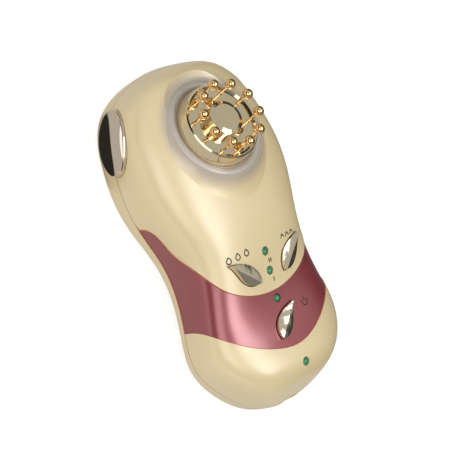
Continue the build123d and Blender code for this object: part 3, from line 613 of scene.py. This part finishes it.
# %% [markdown]
# ## Table
#
# The device lies on a white table that runs out of sight. The camera sees it white, with a faint
# shadow where the device keeps the light off: part of that white is the table's own glow, and
# part is light that it catches. Brighter lamps could whiten it too, but they would bleach the
# device with it.
#
# Mirrors need more than white to look like metal. So the table that they reflect is mid grey,
# with a dark spot beside the left side plate and a dark right-hand side, and far off it darkens.
# All other light sees plain white paint.

# %% Table
TABLE_SIZE = 8
TABLE_WHITE = (0.86, 0.86, 0.86)

bpy.ops.object.select_all(action="DESELECT")
bpy.ops.mesh.primitive_plane_add(size=TABLE_SIZE, location=(0, 0, 0))
table = bpy.context.object
table.name = "table"
paint = Finish("table_white", roughness=0.9, base_color=TABLE_WHITE, specular_ior_level=0.1)
dress(table, paint.material)
print("table:", TABLE_SIZE, "m wide, painted", paint.material.name)

# %% Table that mirrors see
REFLECTED_TINT = (1.0, 0.95, 0.86)
TABLE_GREY = 0.58
SPOT_PLACE = (-0.038, 0.050, 0)
SPOT_EDGE = (0.017, 0.020)
SPOT_LOSS = 0.55
SIDE_EDGE = (0.05, 0.09)
SIDE_LOSS = 0.46
FAR_EDGE = (0.5, 1.5)
FAR_LOSS = 0.35

from_spot = paint.vector("SUBTRACT", paint.place(), SPOT_PLACE)
spot = 1 - paint.vector("LENGTH", from_spot, out="Value").rise(*SPOT_EDGE)
far = paint.vector("LENGTH", paint.place(), out="Value").rise(*FAR_EDGE)
aside = paint.axes(paint.place())[0].rise(*SIDE_EDGE)
tone = TABLE_GREY - spot * SPOT_LOSS - aside * SIDE_LOSS - (1 - aside) * far * FAR_LOSS
reflected = paint.node("Emission", None, {"Color": REFLECTED_TINT, "Strength": tone})
print("mirrors see a grey of", round(TABLE_GREY - SIDE_LOSS, 2), "to", TABLE_GREY, "round the spot")

# %% Table that the camera sees
SHADOW_SHARE = 0.55
GLOW = 0.76

plain = Signal(paint, paint.shader.outputs[0])
glowing = paint.node("Emission", None, {"Color": (1, 1, 1), "Strength": GLOW / (1 - SHADOW_SHARE)})
white = paint.node("MixShader", None, {0: SHADOW_SHARE, 1: glowing, 2: plain})
look = paint.node("MixShader", None, {0: paint.ray_is("Glossy"), 1: plain, 2: reflected})
look = paint.node("MixShader", None, {0: paint.ray_is("Camera"), 1: look, 2: white})
paint.put(paint.tree.nodes["Material Output"].inputs["Surface"], look)
print("table:", len(paint.tree.nodes), "shader nodes")

# %% [markdown]
# ## Sky
#
# The sky stands for the studio's walls and ceiling. The one that mirrors reflect is mid grey, with
# a bright low strip on the left, a dark band over it, a dark right-hand side and a dim stretch
# past the foot end, because metal shows its shape by such edges. Real cards round the device
# could do the same, but they would also stand in the other views. All other light sees a plain
# sky, brighter on the left and turning from cream to yellow-green on the right.

# %% Sky that mirrors see
SKY_GREY = 0.50
LEFT_EDGE = (0.2, 0.5)
STRIP_BOTTOM = (-0.05, 0.02)
STRIP_TOP = (0.10, 0.16)
STRIP_GAIN = 0.9
BAND_BOTTOM = (0.16, 0.24)
BAND_TOP = (0.50, 0.60)
BAND_LOSS = 0.47
RIGHT_EDGE = (0.35, 0.6)
RIGHT_TOP = (0.50, 0.66)
RIGHT_LOSS = 0.44
DIM_EDGE = (0.3, 0.5)
DIM_BOTTOM = (0.30, 0.50)
DIM_TOP = (0.80, 0.90)
DIM_LOSS = 0.26

world = bpy.context.scene.world or bpy.data.worlds.new("world")
bpy.context.scene.world = world
world.use_nodes = True
world.node_tree.nodes.clear()
sky = Wiring(world.node_tree)
x, y, z = sky.axes(sky.node("TexCoord", out="Generated"))
left = (0 - x).rise(*LEFT_EDGE)
strip = left * z.between(STRIP_BOTTOM, STRIP_TOP)
dark_band = left * z.between(BAND_BOTTOM, BAND_TOP)
right = x.rise(*RIGHT_EDGE) * (1 - z.rise(*RIGHT_TOP))
dim = (0 - y).rise(*DIM_EDGE) * z.between(DIM_BOTTOM, DIM_TOP) * (1 - right)
mirror_sky = (SKY_GREY + strip * STRIP_GAIN - dark_band * BAND_LOSS - right * RIGHT_LOSS
              - dim * DIM_LOSS)
print("mirrored sky:", len(world.node_tree.nodes), "shader nodes")

# %% Sky that all other light sees
PLAIN_SKY = 0.54
LEFT_GAIN = 0.38
CREAM = (1.0, 0.98, 0.95)
YELLOW_GREEN = (0.96, 1.0, 0.68)
TINT_EDGE = (-0.1, 0.6)
MIRROR_TINT_LOSS = 0.8

mirrored = sky.ray_is("Glossy")
plain_sky = PLAIN_SKY - x * LEFT_GAIN
strength = mirrored * mirror_sky + (1 - mirrored) * plain_sky
tint = sky.mix(x.rise(*TINT_EDGE) * (1 - mirrored * MIRROR_TINT_LOSS), CREAM, YELLOW_GREEN)
heaven = sky.node("Background", None, {"Color": tint, "Strength": strength})
sky.put(world.node_tree.nodes.new("ShaderNodeOutputWorld").inputs["Surface"], heaven)
print("sky:", len(world.node_tree.nodes), "shader nodes")

# %% [markdown]
# ## Lamps of the studio
#
# A soft box over the device gives most of the lamps' light, broad and creamy along the body. A
# weaker, warmer one on the left fills in the near flank. Point lamps could be as bright, but
# their small hard lights would not suit a pearl finish. No lamp stands low on the right, where
# the sky's yellow-green light is left to tint the far flank. The Standard view shows colours
# about as they are written.

# %% Lamps
LAMP_AIM = Vector((0, 0, 0.02))


def soft_box(name, place, width, height, power, colour):
    """A rectangular lamp at a place in metres, aimed at the device."""
    data = bpy.data.lights.new(name, "AREA")
    data.shape = "RECTANGLE"
    data.size, data.size_y, data.energy, data.color = width, height, power, colour
    lamp = bpy.data.objects.new(name, data)
    place = Vector(place)
    turn = (place - LAMP_AIM).to_track_quat("Z", "Y").to_matrix().to_4x4()
    lamp.matrix_world = Matrix.Translation(place) @ turn
    bpy.context.scene.collection.objects.link(lamp)
    print(name, "stands", round(place.length, 2), "m off and gives", power, "W")


soft_box("left_box", (-0.50, 0.02, 0.65), 0.7, 0.40, 1.3, (1.0, 0.97, 0.92))
soft_box("top_box", (0.20, -0.12, 0.90), 0.66, 0.35, 3.1, (1.0, 0.99, 0.98))
bpy.context.scene.view_settings.view_transform = "Standard"
